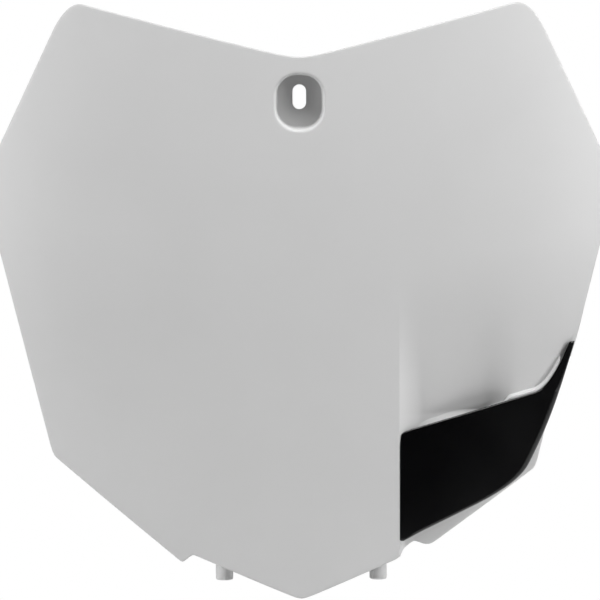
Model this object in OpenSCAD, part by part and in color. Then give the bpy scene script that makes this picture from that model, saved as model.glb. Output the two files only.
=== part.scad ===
// Front number board of a motocross motorcycle: a white moulded shield with a black hose cover
// screwed on at its lower right. X runs to the right as seen from the front, the front faces -Y,
// and Z is up. The origin is the centre of the screw slot, on the rear face of the pocket's floor.

/* [Shield outline] */
// Width over the outer corners, before they are rounded
board_w = 292.6; // [280:0.2:310]
// Height from the bottom tip to the upper corners, before they are rounded
board_h = 274.5; // [262:0.5:290]
// Distance of the screw slot below the upper corners
slot_drop = 43.5; // [38:0.5:50]
// Distance of the outer corners below the upper ones
side_drop = 84.3; // [70:0.1:95]
// Radius of the outer corners
side_r = 49; // [30:1:60]
// Distance of each upper corner inside the outer one
top_in = 39.8; // [34:0.1:48]
// Height of the notch in the middle of the top edge above the slot
notch_z = 16.9; // [15.5:0.1:24]
// Distance of each lower side corner inside the outer one
low_in = 32.1; // [28:0.1:35]
// Height of the lower side corners above the tip
low_rise = 65.5; // [62:0.5:70]
// Rise of the bottom edges away from the tip, per millimetre
tip_slope = 0.425; // [0.36:0.01:0.44]
// Distance of the hook on the left lower edge from the middle
hook_x = 54.9; // [51:0.1:57]
// Width of the hook's sloping flank
hook_w = 4.9; // [3:0.1:7]

/* [Shield surface] */
// Thickness of the moulding
wall_t = 2.4; // [1.8:0.1:3.5]
// Radius of the shield's bow from side to side
bow_r = 300; // [240:10:500]
// Radius of the shield's bow from top to bottom
arch_r = 1200; // [900:50:3000]
// Height of the foremost line of the arch above the tip
arch_rise = 111; // [90:1:140]
// Slope that the soft keel adds on each side of the middle
keel_slope = 0.012; // [0:0.002:0.03]
// Slope that the outer panels add beyond the bend lines
bend_slope = 0.015; // [0:0.005:0.04]

/* [Hose recess] */
// Distance of the crease at the recess's left side from the middle
crease_x = 45.2; // [43:0.2:48]
// Depth of the recess behind the cover
recess_d = 14.5; // [13:0.5:17]
// Height above the tip at which the dish over the cover starts
dish_rise = 163; // [151:1:171]
// Height over which the dish reaches its full depth
dish_h = 78; // [74:1:90]
// Width of the dish's side wall above the cover
dish_wall_w = 11; // [8:0.5:16]
// Width of the recess's side wall behind the cover
recess_wall_w = 3; // [2.5:0.1:3.4]
// Thickness of the ledges along the cover's top edge
ledge_t = 2.3; // [1.4:0.1:3]
// Height of the sloping foot behind the ledges
ledge_foot = 3.6; // [2:0.1:5]
// Distance from the crease to the gap between the ledges, where the hose goes down
gap_in = 36.8; // [31:0.2:41]
// Width of the gap between the ledges
gap_w = 12; // [9:0.5:15]

/* [Pocket] */
// Depth of the pocket from the face to its floor
pocket_d = 9.6; // [7:0.1:13]
// Width of the pocket's mouth
pocket_w = 21.4; // [20:0.1:26]
// Height of the pocket's mouth
pocket_h = 24.2; // [22:0.1:28]
// Distance that each pocket wall leans in by at the floor
pocket_draft = 1.65; // [0.5:0.05:2]
// Drop of the pocket's middle below the slot's middle
pocket_drop = 1; // [0:0.1:2]
// Width of the slot for the mounting screw
slot_w = 6.2; // [5.2:0.1:8]
// Length of the slot
slot_l = 11.4; // [9:0.1:13]

/* [Pegs] */
// Distance of each locating peg from the middle
peg_x = 35.4; // [30:0.1:40]
// Radius of the pegs
peg_r = 4; // [3:0.1:5]
// Height of the pegs' lower ends above the tip
peg_rise = 8.8; // [3:0.1:10]
// Length of each peg below its root
peg_l = 16; // [14:0.5:20]
// Length of each peg's thicker root
peg_root_l = 9; // [6:0.5:12]
// Distance of the pegs' axes in front of the seat
peg_front = 4; // [2:0.1:5]

/* [Hose cover] */
// Thickness of the cover's wall
cover_t = 2.2; // [1.6:0.1:2.4]
// Gap between the crease and the cover's left edge
cover_gap = 0.6; // [0.5:0.1:1]
// Height of the cover's top edge at its left end above the tip
cover_left_rise = 76.6; // [73:0.2:79]
// Rise of the cover's top edge, per millimetre
cover_rise = 0.26; // [0.24:0.005:0.29]
// Distance inside the outer corner at which the horn rises through its mid height
horn_in = 25.7; // [24.8:0.1:26.8]
// Height of the tip of the horn above the tip of the shield
horn_rise = 116.8; // [115:0.2:119]
// Distance of the cover's right edge inside the outer corner, at the tip of the horn
cover_in = 19.2; // [18.5:0.1:20]
// Lean of the cover's right edge
cover_lean = 0.31; // [0.3:0.002:0.32]
// Height of the cover's lower left corner above the tip
cover_low_rise = 27; // [25:0.2:28.5]
// Rise of the cover's bottom edge, per millimetre
cover_low_slope = 0.46; // [0.44:0.005:0.48]
// Height above the tip at which the flank runs out into the bottom edge
flank_low_rise = 51; // [47:1:55]
// Radius of the roll from the cover's face to its flank
roll_r = 4.5; // [3.5:0.1:6]
// Gap between the flank's rear edge and the floor of the recess
flank_gap = 0.9; // [0.7:0.1:1.5]
// Distance that the shield's side steps in behind the flank
side_step = 3.1; // [2.5:0.1:4]

/* [Cover screws] */
// Radius of the screw shanks
screw_r = 1.75; // [1.5:0.05:2]
// Radius of the screw heads
screw_head_r = 3.6; // [3:0.1:4.5]
// Height of the screw heads
screw_head_h = 2.4; // [1.8:0.1:3]
// Length of the screws under the head
screw_l = 16; // [13:0.5:17]
// Clearance of the screw holes in the shield, on the radius
screw_clearance = 0.35; // [0.2:0.05:0.6]
// Radius of the cover's screw bosses
boss_r = 3.8; // [3.2:0.1:4.2]
// Thickness of the shield's pads between the bosses and the screw heads
pad_t = 7.5; // [7:0.5:9]

/* [Hidden] */
$fn = 64;

PLASTIC_WHITE = "gainsboro";
PLASTIC_BLACK = [0.06, 0.06, 0.065];
STEEL = "silver";

NOTCH_SOFT = 4.8;
TIP_SOFT = 2;
TOP_CORNER_SOFT = 17;
LOW_CORNER_SOFT = 4;
HOOK_FLANK = 0.78;
HOOK_SOFT = 1;
BEND_X = 45;
BEND_SOFT = 4;
KEEL_SOFT = 2;
LOW_HALF_RISE = 171;
LOW_HALF_H = 100;
CHANNEL_EDGE = 7;
CHANNEL_MIN = 0.3;
DISH_STEEP = 0.4;
DISH_SLOPE_X = [6, 38];
PEG_CHAMFER = 0.8;
PEG_ROOT_R = 5;
WEB_T = 5;
WEB_RISE = 9;
EMBED = 1.2;
SEAT_T = 1.6;
RIM_REACH = 8;
MIN_EDGE = 0.05;
HORN_SLOPE = 2.2;
HORN_MID = 9.6;
HORN_SOFT = 13.5;
COVER_CORNER_SOFT = 14;
COVER_BEND = 0.003;
COVER_BEND_RISE = 97;
LEFT_LEDGE = 0.45;
LEDGE_START = 3;
LEDGE_FADE = 11;
LEDGE_END = 0.7;
LEDGE_GAP = 0.35;
LEDGE_SINK = 0.9;
FLAP_X = [43.2, 52.2, 59.2];
FLAP_RISE = [0.78, -0.4, 0.695];
FLAP_SOFT = [2, 3];
SCREW_IN = [15.8, 22.3];
SCREW_UP = [32, 52];
PAD_FRONT = 2;
PAD_R = 5;
BOSS_SINK = 0.8;
SCREW_TIP = 2;
DRIVE_W = 1;
DRIVE_L = 4;
DRIVE_D = 1.3;

// Blends and small helpers

function clamp01(t) = min(1, max(0, t));
function ease(t) = let (s = clamp01(t)) s * s * (3 - 2 * s);
function soft_max(a, b, k) = max(a, b) + pow(max(k - abs(a - b), 0), 2) / (4 * k);
function soft_min(a, b, k) = -soft_max(-a, -b, k);
function soft_abs(x, s) = sqrt(x * x + s * s);
function steps(a, b, n) = [for (i = [0 : n - 1]) a + (b - a) * i / n];

// Places worked out from the sizes: the tip, the corners, the dish, the cover, the screws and the pegs

TIP_Z = slot_drop - board_h;
TOP_Z = slot_drop;
SIDE_X = board_w / 2;
SIDE_Z = TOP_Z - side_drop;
TOP_X = SIDE_X - top_in;
LOW_X = SIDE_X - low_in;
LOW_Z = TIP_Z + low_rise;
ARCH_Z = TIP_Z + arch_rise;
LOW_HALF_Z = TIP_Z + LOW_HALF_RISE;
DISH_TOP_Z = TIP_Z + dish_rise;
GAP_X0 = crease_x + gap_in;
GAP_X1 = GAP_X0 + gap_w;
COVER_LOW_Z = TIP_Z + cover_low_rise;
COVER_LEFT_Z = TIP_Z + cover_left_rise;
COVER_BEND_Z = TIP_Z + COVER_BEND_RISE;
FLANK_LOW_Z = TIP_Z + flank_low_rise;
COVER_RIGHT_X = SIDE_X - cover_in;
HORN_X = SIDE_X - horn_in;
HORN_Z = TIP_Z + horn_rise;
PEG_END_Z = TIP_Z + peg_rise;
SCREWS = [
    [crease_x + SCREW_IN[0], COVER_LOW_Z + SCREW_UP[0]],
    [COVER_RIGHT_X - SCREW_IN[1], COVER_LOW_Z + SCREW_UP[1]]
];

// Outline of the shield: heights of its upper and lower edges at a distance x from the middle

TOP_SLOPE = (TOP_Z - notch_z) / TOP_X;
UPPER_SLOPE = (SIDE_Z - TOP_Z) / (SIDE_X - TOP_X);
LOWER_SLOPE = (SIDE_Z - LOW_Z) / (SIDE_X - LOW_X);
UPPER_N = [-UPPER_SLOPE, 1] / norm([UPPER_SLOPE, 1]);
LOWER_N = [LOWER_SLOPE, -1] / norm([LOWER_SLOPE, 1]);
SIDE_C = [SIDE_X, SIDE_Z] - side_r / (1 + UPPER_N * LOWER_N) * (UPPER_N + LOWER_N);
SHIELD_X = SIDE_C.x + side_r - MIN_EDGE;

function side_half(ax) = sqrt(max(0, side_r * side_r - pow(ax - SIDE_C.x, 2)));

function upper_z(x) =
    let (ax = abs(x))
    ax > SIDE_C.x + side_r * UPPER_N.x
        ? SIDE_C.y + side_half(ax)
        : soft_min(notch_z + TOP_SLOPE * soft_abs(x, NOTCH_SOFT),
                   SIDE_Z + UPPER_SLOPE * (ax - SIDE_X), TOP_CORNER_SOFT);

function side_low_z(ax) =
    ax > SIDE_C.x + side_r * LOWER_N.x
        ? SIDE_C.y - side_half(ax)
        : SIDE_Z + LOWER_SLOPE * (ax - SIDE_X);

function middle_low_z(x) = TIP_Z + tip_slope * soft_abs(x, TIP_SOFT);

HOOK_NOTCH_X = hook_x - hook_w;
HOOK_Z = middle_low_z(HOOK_NOTCH_X) - HOOK_FLANK * hook_w;
HOOK_RISE = (LOW_Z - HOOK_Z) / (LOW_X - hook_x);

function left_low_z(x) =
    let (ax = -x)
    ax < HOOK_NOTCH_X
        ? middle_low_z(x)
        : soft_max(HOOK_Z + HOOK_FLANK * (hook_x - ax),
                   soft_max(HOOK_Z + HOOK_RISE * (ax - hook_x), side_low_z(ax), LOW_CORNER_SOFT), HOOK_SOFT);

FLAP_Z = [
    middle_low_z(FLAP_X[0]),
    middle_low_z(FLAP_X[0]) + FLAP_RISE[0] * (FLAP_X[1] - FLAP_X[0]),
    middle_low_z(FLAP_X[0]) + FLAP_RISE[0] * (FLAP_X[1] - FLAP_X[0])
        + FLAP_RISE[1] * (FLAP_X[2] - FLAP_X[1])
];
STEP_Z = HORN_Z - 8;

function flap_z(x) =
    soft_max(FLAP_Z[1] + FLAP_RISE[1] * (x - FLAP_X[1]),
             FLAP_Z[2] + FLAP_RISE[2] * (x - FLAP_X[2]), FLAP_SOFT[1]);

function right_low_z(x) =
    x < FLAP_X[0] ? middle_low_z(x) :
    x < FLAP_X[2] ? soft_min(FLAP_Z[0] + FLAP_RISE[0] * (x - FLAP_X[0]), flap_z(x), FLAP_SOFT[0]) :
    max(side_low_z(x), soft_max(flap_z(x), min(side_low_z(x + side_step), STEP_Z), LOW_CORNER_SOFT));

function lower_z(x) = x < 0 ? left_low_z(x) : right_low_z(x);

// Surface of the shield: y of the unbroken face, and how far the hose recess lies behind it

function arch_y(z) = pow(z - ARCH_Z, 2) / (2 * arch_r);
function low_half(z) = ease((LOW_HALF_Z - z) / LOW_HALF_H);

function face_y(x, z) =
    -pocket_d - wall_t
    + bow_r - sqrt(bow_r * bow_r - x * x)
    + arch_y(z) - arch_y(0)
    + low_half(z) * keel_slope * (soft_abs(x, KEEL_SOFT) - KEEL_SOFT)
    + low_half(z) * bend_slope * (soft_abs(max(abs(x) - BEND_X, 0), BEND_SOFT) - BEND_SOFT);

function cover_top_z(x) =
    soft_max(COVER_LEFT_Z + cover_rise * (x - crease_x),
             HORN_Z - HORN_MID + HORN_SLOPE * (x - HORN_X), HORN_SOFT);

function quarter(t) = sin(90 * clamp01(t));

function dish_fall(z) = pow(clamp01((DISH_TOP_Z - z) / dish_h), 2);

function recess_y(x, z) =
    let (u = x - crease_x,
         covered = ease((cover_top_z(max(x, crease_x)) + CHANNEL_EDGE - z) / CHANNEL_EDGE),
         gentle = ease((u - DISH_SLOPE_X[0]) / (DISH_SLOPE_X[1] - DISH_SLOPE_X[0])),
         dish = DISH_STEEP * quarter(u / dish_wall_w) + (1 - DISH_STEEP) * gentle,
         channel = quarter(u / recess_wall_w) * max(dish_fall(z), CHANNEL_MIN))
    u <= 0 ? 0 : recess_d * (covered * channel + (1 - covered) * dish * dish_fall(z));

function front_y(x, z) = face_y(x, z) + recess_y(x, z);
function rear_y(x, z) = face_y(x, z) + wall_t + recess_y(x + 0.8 * wall_t, z);

// A closed sheet between a front and a rear grid of points, each a list of columns

module sheet(front, rear) {
    n = len(front);
    m = len(front[0]);
    r = n * m;
    cells = [for (i = [0 : n - 2]) for (j = [0 : m - 2]) i * m + j];
    rows = [for (i = [0 : n - 2]) i * m];
    columns = [for (j = [0 : m - 2]) j];
    last = (n - 1) * m;
    polyhedron(
        points = concat([for (c = front) for (p = c) p], [for (c = rear) for (p = c) p]),
        faces = concat(
            [for (a = cells) [a, a + 1, a + m + 1]],
            [for (a = cells) [a, a + m + 1, a + m]],
            [for (a = cells) [r + a, r + a + m + 1, r + a + 1]],
            [for (a = cells) [r + a, r + a + m, r + a + m + 1]],
            [for (a = rows) [a, a + m, r + a + m]],
            [for (a = rows) [a, r + a + m, r + a]],
            [for (a = rows) let (d = a + m - 1) [d + m, d, r + d]],
            [for (a = rows) let (d = a + m - 1) [d + m, r + d, r + d + m]],
            [for (a = columns) [a + 1, a, r + a]],
            [for (a = columns) [a + 1, r + a, r + a + 1]],
            [for (a = columns) let (b = last + a) [b, b + 1, r + b + 1]],
            [for (a = columns) let (b = last + a) [b, r + b + 1, r + b]]));
}

// Shield

ROWS = 29;
ROW_POWER = 1.15;
SIDE_SPAN = 17;
SIDE_COLS = [for (i = [0 : 5]) SIDE_SPAN * pow(i / 6, 2)];
CREASE_COLS = [for (u = [0, 0.5, 1.2, 2, 3, 5]) crease_x + u];
CORNER_X = LOW_X - 13;
SIDE_COL_X = SHIELD_X - SIDE_SPAN;

LEFT_COLS = concat(
    [for (d = SIDE_COLS) -SHIELD_X + d],
    steps(-SIDE_COL_X, -LOW_X - 2, 2),
    steps(-LOW_X - 2, -CORNER_X, 7),
    steps(-CORNER_X, -hook_x - 0.6, 7),
    [-hook_x - 0.6, -hook_x, -hook_x + 0.6, -HOOK_NOTCH_X, -BEND_X],
    steps(-BEND_X + 6, -6, 4),
    [-6, -2.5]);

RIGHT_COLS = concat(
    [0, 2.5, 6],
    steps(6, FLAP_X[0], 4),
    [FLAP_X[0]],
    CREASE_COLS,
    [for (u = [-0.6, 0.8, 2.6]) FLAP_X[1] + u],
    [for (u = [-1.8, 0, 1.8]) FLAP_X[2] + u],
    steps(FLAP_X[2] + 6, CORNER_X, 6),
    steps(CORNER_X, SIDE_COL_X, 13),
    steps(SIDE_COL_X, SHIELD_X - SIDE_COLS[5], 2),
    [for (i = [5 : -1 : 0]) SHIELD_X - SIDE_COLS[i]]);

function spread(t) = pow(t, ROW_POWER);
function keep_rising(list) =
    [for (i = [0 : len(list) - 1]) if (i == 0 || list[i] > list[i - 1] + 0.2) list[i]];

SHIELD_COLS = keep_rising(concat(LEFT_COLS, RIGHT_COLS));

function shield_column(x, side) =
    let (a = lower_z(x), b = upper_z(x))
    [for (j = [0 : ROWS - 1])
        let (z = a + (b - a) * spread(j / (ROWS - 1)))
        [x, side == 0 ? front_y(x, z) : rear_y(x, z), z]];

module shield_shell() {
    sheet([for (x = SHIELD_COLS) shield_column(x, 0)], [for (x = SHIELD_COLS) shield_column(x, 1)]);
}

// Round-cornered plate lying in X and Z, growing towards the front from the height y
module plate_outline(w, h, r) {
    square([w - 2 * r, h], center = true);
    square([w, h - 2 * r], center = true);
    for (i = [-1, 1])
        for (k = [-1, 1])
            translate([i * (w / 2 - r), k * (h / 2 - r)])
                circle(r);
}

module plate(w, h, r, t) {
    rotate([90, 0, 0])
        linear_extrude(height = t)
            plate_outline(w, h, r);
}

FLOOR_W = pocket_w - 2 * pocket_draft;
FLOOR_H = pocket_h - 2 * pocket_draft;
POCKET_R = pocket_w * 0.36;
CUP_T = 2;
FACE_TILT = atan(-ARCH_Z / arch_r);

// Outside of the pocket's cup, from inside the shield's wall to the seat
module pocket_cup() {
    translate([0, 0, -pocket_drop]) {
        hull() {
            plate(FLOOR_W + 2 * CUP_T, FLOOR_H + 2 * CUP_T, POCKET_R, SEAT_T);
            translate([0, -pocket_d - wall_t + EMBED + 0.1, 0])
                rotate([FACE_TILT, 0, 0])
                    plate(pocket_w + 2 * CUP_T, pocket_h + 2 * CUP_T, POCKET_R + CUP_T, 0.1);
        }
        plate(FLOOR_W + 2 * CUP_T + 0.6, FLOOR_H + 2 * CUP_T + 0.6, POCKET_R + 0.3, SEAT_T);
    }
}

module pocket_cavity() {
    reach = (pocket_d + RIM_REACH) / pocket_d;
    translate([0, -wall_t, -pocket_drop])
        hull() {
            plate(FLOOR_W, FLOOR_H, POCKET_R - pocket_draft, 0.01);
            translate([0, -pocket_d - RIM_REACH, 0])
                plate(FLOOR_W + 2 * pocket_draft * reach, FLOOR_H + 2 * pocket_draft * reach,
                      POCKET_R + pocket_draft * (reach - 1), 0.01);
        }
}

// Upright slot through the pocket's floor
module slot_cut() {
    half = (slot_l - slot_w) / 2;
    translate([0, 1, 0]) {
        plate(slot_w, 2 * half, 0.01, wall_t + 2);
        for (k = [-1, 1])
            translate([0, 0, k * half])
                rotate([90, 0, 0])
                    cylinder(h = wall_t + 2, r = slot_w / 2);
    }
}

// Locating peg: a free round end, and a thicker root that a web joins to the shield's back
module peg(x) {
    root_z = PEG_END_Z + peg_l;
    top = root_z + peg_root_l;
    translate([x, -peg_front, PEG_END_Z]) {
        cylinder(h = PEG_CHAMFER, r1 = peg_r - PEG_CHAMFER, r2 = peg_r);
        translate([0, 0, PEG_CHAMFER])
            cylinder(h = peg_l, r = peg_r);
        translate([0, 0, peg_l])
            cylinder(h = peg_root_l, r = PEG_ROOT_R);
    }
    translate([x - WEB_T / 2, 0, 0])
        rotate([90, 0, 90])
            linear_extrude(height = WEB_T)
                polygon([
                    [face_y(x, root_z) + EMBED, root_z],
                    [-peg_front, root_z],
                    [-peg_front, top],
                    [face_y(x, top + WEB_RISE) + EMBED, top + WEB_RISE]
                ]);
}

// Ledge along the cover's top edge between two distances x, with a foot that slopes to the dish's
// floor. It sinks into the floor over the length fade at its left or its right end.
module ledge(x0, x1, n, t, left_fade, right_fade) {
    xs = [for (i = [0 : n]) x0 + (x1 - x0) * i / n];
    low = [for (x = xs) cover_top_z(x) + LEDGE_GAP];
    high = [for (i = [0 : n]) low[i] + t * norm([1, cover_top_z(xs[i] + 0.5) - cover_top_z(xs[i] - 0.5)])];
    foot = [for (z = high) z + ledge_foot];
    function sink(x) = max(1 - ease((x - x0) / left_fade), ease((x - x1 + right_fade) / right_fade));
    function crown(x, z) =
        let (y = face_y(x, z) + LEDGE_SINK)
        y + sink(x) * max(0, front_y(x, z) - y);
    sheet([for (i = [0 : n]) [
              [xs[i], crown(xs[i], low[i]), low[i]],
              [xs[i], crown(xs[i], high[i]), high[i]]]],
          [for (i = [0 : n]) [
              [xs[i], front_y(xs[i], low[i]) + EMBED, low[i]],
              [xs[i], front_y(xs[i], foot[i]) + EMBED, foot[i]]]]);
}

function pad_front_y(s) = front_y(s[0], s[1]) - PAD_FRONT;
function pad_rear_y(s) = pad_front_y(s) + pad_t;

// Pad through the recess's floor, with a flat on each side for a screw
module screw_pad(s) {
    translate([s[0], pad_rear_y(s), s[1]])
        rotate([90, 0, 0])
            cylinder(h = pad_t, r = PAD_R);
}

module shield() {
    color(PLASTIC_WHITE)
        difference() {
            union() {
                shield_shell();
                pocket_cup();
                for (x = [-peg_x, peg_x])
                    peg(x);
                ledge(crease_x + LEDGE_START, GAP_X0, 9, LEFT_LEDGE * ledge_t, 0.5, LEDGE_FADE);
                ledge(GAP_X1, HORN_X - LEDGE_END, 12, ledge_t, LEDGE_FADE, 0.5);
                for (s = SCREWS)
                    screw_pad(s);
            }
            pocket_cavity();
            slot_cut();
            for (s = SCREWS)
                translate([s[0], pad_rear_y(s) + 1, s[1]])
                    rotate([90, 0, 0])
                        cylinder(h = pad_t + 2, r = screw_r + screw_clearance);
        }
}

// Hose cover: rows of points from its left edge, across the face, round the roll and along the flank

COVER_LEFT_X = crease_x + cover_gap;
TABLE_X0 = crease_x - 30;
TOP_TABLE = [
    for (i = [0 : 90])
        let (x = TABLE_X0 + (COVER_RIGHT_X - TABLE_X0) * i / 90)
        [cover_top_z(x), x]];

function low_edge_x(z) = COVER_LEFT_X + 0.6 + (z - COVER_LOW_Z) / cover_low_slope;
function side_edge_x(z) =
    COVER_RIGHT_X + cover_lean * (z - HORN_Z) - COVER_BEND * pow(max(0, COVER_BEND_Z - z), 2);
function cover_left(z) = soft_max(COVER_LEFT_X, lookup(z, TOP_TABLE), 3);
function cover_right(z) = soft_min(side_edge_x(z), low_edge_x(z), COVER_CORNER_SOFT);
function roll(z) = min(roll_r, 0.45 * (cover_right(z) - cover_left(z)));
function cover_wall(z) = min(cover_t, 0.7 * roll(z));

FACE_STEPS = 9;
ROLL_STEPS = 4;
FLANK_STEPS = 3;
FLANK_DRAFT = 2;
FLANK_FADE = 22;
FLANK_MIN = 0.2;

function slope_x(x, z) = (face_y(x + 0.5, z) - face_y(x - 0.5, z));

// Points of the row at height z, as [x, y, lean of the surface from the X axis in degrees]
function cover_row(z) =
    let (r = roll(z),
         x0 = cover_left(z),
         a1 = atan(slope_x(cover_right(z) - r, z)),
         a2 = 90 - FLANK_DRAFT,
         cx = cover_right(z) - r * sin(a2),
         x1 = cx + r * sin(a1),
         cy = face_y(x1, z) + r * cos(a1),
         rear = front_y(cover_right(z) - cover_wall(z), z) - flank_gap,
         d = max(FLANK_MIN, (rear - cy + r * cos(a2)) * ease((z - FLANK_LOW_Z) / FLANK_FADE)))
    concat(
        [for (i = [0 : FACE_STEPS - 1])
            let (x = x0 + (x1 - x0) * i / FACE_STEPS)
            [x, face_y(x, z), atan(slope_x(x, z))]],
        [for (i = [0 : ROLL_STEPS])
            let (a = a1 + (a2 - a1) * i / ROLL_STEPS)
            [cx + r * sin(a), cy - r * cos(a), a]],
        [for (i = [1 : FLANK_STEPS])
            let (s = d * i / FLANK_STEPS)
            [cx + r * sin(a2) + s * cos(a2), cy - r * cos(a2) + s * sin(a2), a2]]);

COVER_ZS = concat(
    steps(COVER_LOW_Z + 0.4, COVER_LOW_Z + 26, 8),
    steps(COVER_LOW_Z + 26, COVER_LEFT_Z, 8),
    steps(COVER_LEFT_Z, COVER_LEFT_Z + 17, 10),
    steps(COVER_LEFT_Z + 17, HORN_Z - 1.5, 8),
    [HORN_Z - 1.5, HORN_Z - 0.7, HORN_Z - 0.2]);

function outer_row(z) = [for (p = cover_row(z)) [p[0], p[1], z]];
function inner_row(z) =
    let (t = cover_wall(z))
    [for (p = cover_row(z)) [max(p[0] - t * sin(p[2]), cover_left(z)), p[1] + t * cos(p[2]), z]];

function flip(rows) = [for (i = [0 : len(rows[0]) - 1]) [for (row = rows) row[i]]];

// Depth of the screw tips in front of the shield's pads
SCREW_REACH = screw_l - pad_t;

function boss_front_y(s) = face_y(s[0], s[1]) + cover_t - BOSS_SINK;

module hose_cover() {
    color(PLASTIC_BLACK)
        difference() {
            union() {
                sheet(flip([for (z = COVER_ZS) outer_row(z)]), flip([for (z = COVER_ZS) inner_row(z)]));
                for (s = SCREWS)
                    translate([s[0], pad_front_y(s), s[1]])
                        rotate([90, 0, 0])
                            cylinder(h = pad_front_y(s) - boss_front_y(s), r = boss_r);
            }
            for (s = SCREWS)
                translate([s[0], pad_front_y(s) + 1, s[1]])
                    rotate([90, 0, 0])
                        cylinder(h = SCREW_REACH + 1.2, r = screw_r);
        }
}

// Pan-head screw with a cross drive, its head behind the pad
module cover_screw() {
    difference() {
        union() {
            rotate([90, 0, 0])
                cylinder(h = screw_l - SCREW_TIP, r = screw_r);
            translate([0, -(screw_l - SCREW_TIP), 0])
                rotate([90, 0, 0])
                    cylinder(h = SCREW_TIP, r1 = screw_r, r2 = 0.4);
            rotate([-90, 0, 0])
                rotate_extrude()
                    polygon([[0, 0], [screw_head_r, 0], [screw_head_r, 0.5 * screw_head_h],
                             [0.8 * screw_head_r, 0.85 * screw_head_h], [0.5 * screw_head_r, screw_head_h],
                             [0, screw_head_h]]);
        }
        for (a = [0, 90])
            rotate([0, a, 0])
                translate([-DRIVE_L / 2, screw_head_h - DRIVE_D, -DRIVE_W / 2])
                    cube([DRIVE_L, DRIVE_D + 1, DRIVE_W]);
    }
}

module cover_screws() {
    color(STEEL)
        for (s = SCREWS)
            translate([s[0], pad_rear_y(s), s[1]])
                cover_screw();
}

shield();
hose_cover();
cover_screws();
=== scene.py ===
import math

import bmesh
import bpy
from mathutils import Matrix, Vector


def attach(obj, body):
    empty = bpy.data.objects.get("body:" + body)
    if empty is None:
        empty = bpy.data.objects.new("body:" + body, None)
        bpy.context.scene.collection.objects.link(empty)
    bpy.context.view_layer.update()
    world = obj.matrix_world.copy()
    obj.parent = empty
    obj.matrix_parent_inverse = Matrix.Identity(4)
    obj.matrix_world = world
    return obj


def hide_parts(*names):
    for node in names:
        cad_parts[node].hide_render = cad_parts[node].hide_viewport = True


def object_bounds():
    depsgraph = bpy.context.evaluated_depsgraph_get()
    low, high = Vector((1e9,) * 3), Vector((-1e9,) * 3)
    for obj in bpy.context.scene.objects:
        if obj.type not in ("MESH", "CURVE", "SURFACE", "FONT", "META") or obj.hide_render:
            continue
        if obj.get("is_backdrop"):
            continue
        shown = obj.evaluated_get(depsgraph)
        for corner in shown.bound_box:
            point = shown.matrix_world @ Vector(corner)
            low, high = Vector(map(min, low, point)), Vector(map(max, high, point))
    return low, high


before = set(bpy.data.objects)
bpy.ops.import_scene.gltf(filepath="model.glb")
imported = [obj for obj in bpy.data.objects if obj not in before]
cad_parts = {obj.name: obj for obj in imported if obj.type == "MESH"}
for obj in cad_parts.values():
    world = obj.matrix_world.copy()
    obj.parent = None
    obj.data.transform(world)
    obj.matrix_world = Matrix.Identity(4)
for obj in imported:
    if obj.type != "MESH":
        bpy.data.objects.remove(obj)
cad_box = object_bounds()


# Camera: a long lens a little above the screw slot, aimed at the middle of the photograph's frame.
# The slot's place in the frame, in pixels, and the size of a pixel at the board are named here.

MM = 0.001
FRAME_PX = 600
SLOT_PX = (299.31, 96.9)
SLOT_FRONT_Y = -2.4 * MM
PIXEL = 0.4584 * MM
CAMERA_DISTANCE = 3.249
CAMERA_PITCH = math.radians(3.94)
CAMERA_YAW = math.radians(-0.59)
CAMERA_ROLL = math.radians(0.24)
CAMERA_REACH = 20
SENSOR = 36.0

slot_front = Vector((0, SLOT_FRONT_Y, 0))
forward = Vector((
    -math.sin(CAMERA_YAW) * math.cos(CAMERA_PITCH),
    math.cos(CAMERA_YAW) * math.cos(CAMERA_PITCH),
    -math.sin(CAMERA_PITCH),
))
level_right = Vector((math.cos(CAMERA_YAW), math.sin(CAMERA_YAW), 0))
level_up = level_right.cross(forward)
up = level_up * math.cos(CAMERA_ROLL) + level_right * math.sin(CAMERA_ROLL)
right = forward.cross(up)

place = slot_front - forward * CAMERA_DISTANCE
aim = slot_front
aim = aim + right * (FRAME_PX / 2 - SLOT_PX[0]) * PIXEL
aim = aim - up * (FRAME_PX / 2 - SLOT_PX[1]) * PIXEL
sight = (aim - place).normalized()
side = sight.cross(up).normalized()
turn = Matrix((side, side.cross(sight), -sight)).transposed()

camera = bpy.data.objects.new("camera", bpy.data.cameras.new("camera"))
camera.matrix_world = Matrix.Translation(place) @ turn.to_4x4()
camera.data.sensor_width = SENSOR
camera.data.lens = SENSOR * CAMERA_DISTANCE / (FRAME_PX * PIXEL)
camera.data.clip_end = CAMERA_REACH
bpy.context.collection.objects.link(camera)
bpy.context.scene.camera = camera


# White shield: one moulding of white polypropylene, bowed round the fork, with a rounded rim, a dish
# and a recess for the brake hose at its lower right, a pocket for the mounting screw, two locating
# pegs and the pads for the cover's screws. The mesh is built in millimetres and scaled at the end.

# Side corner, as the sharp corner that its round of BOARD_R fits in
BOARD_X = 146.3
BOARD_Z = -40.8
BOARD_R = 49
# Top corner, and the notch between the two
TOP_X = 106.5
TOP_Z = 43.5
TOP_SOFT = 17
NOTCH_Z = 16.9
NOTCH_SOFT = 6.2
# Lower corner, and the tip in the middle
LOW_X = 114.2
LOW_Z = -165.5
LOW_SOFT = 4
TIP_Z = -231
TIP_SLOPE = 0.425
TIP_SOFT = 2
# Hook at the lower left, and the notch beside it
HOOK_X = 54.9
HOOK_W = 4.9
HOOK_FLANK = 0.78
HOOK_SOFT = 1
HOOK_NOTCH_SOFT = 1.5
# Flap that shows under the cover, and the step that makes room for the cover's flank
FLAP = (43.2, 52.2, 59.2)
FLAP_RISE = (0.78, -0.4, 0.695)
FLAP_TIP_SOFT = 2
FLAP_LOW_SOFT = 3
SIDE_STEP = 3.1
STEP_DROP = 8
STEP_SOFT = 4
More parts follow.
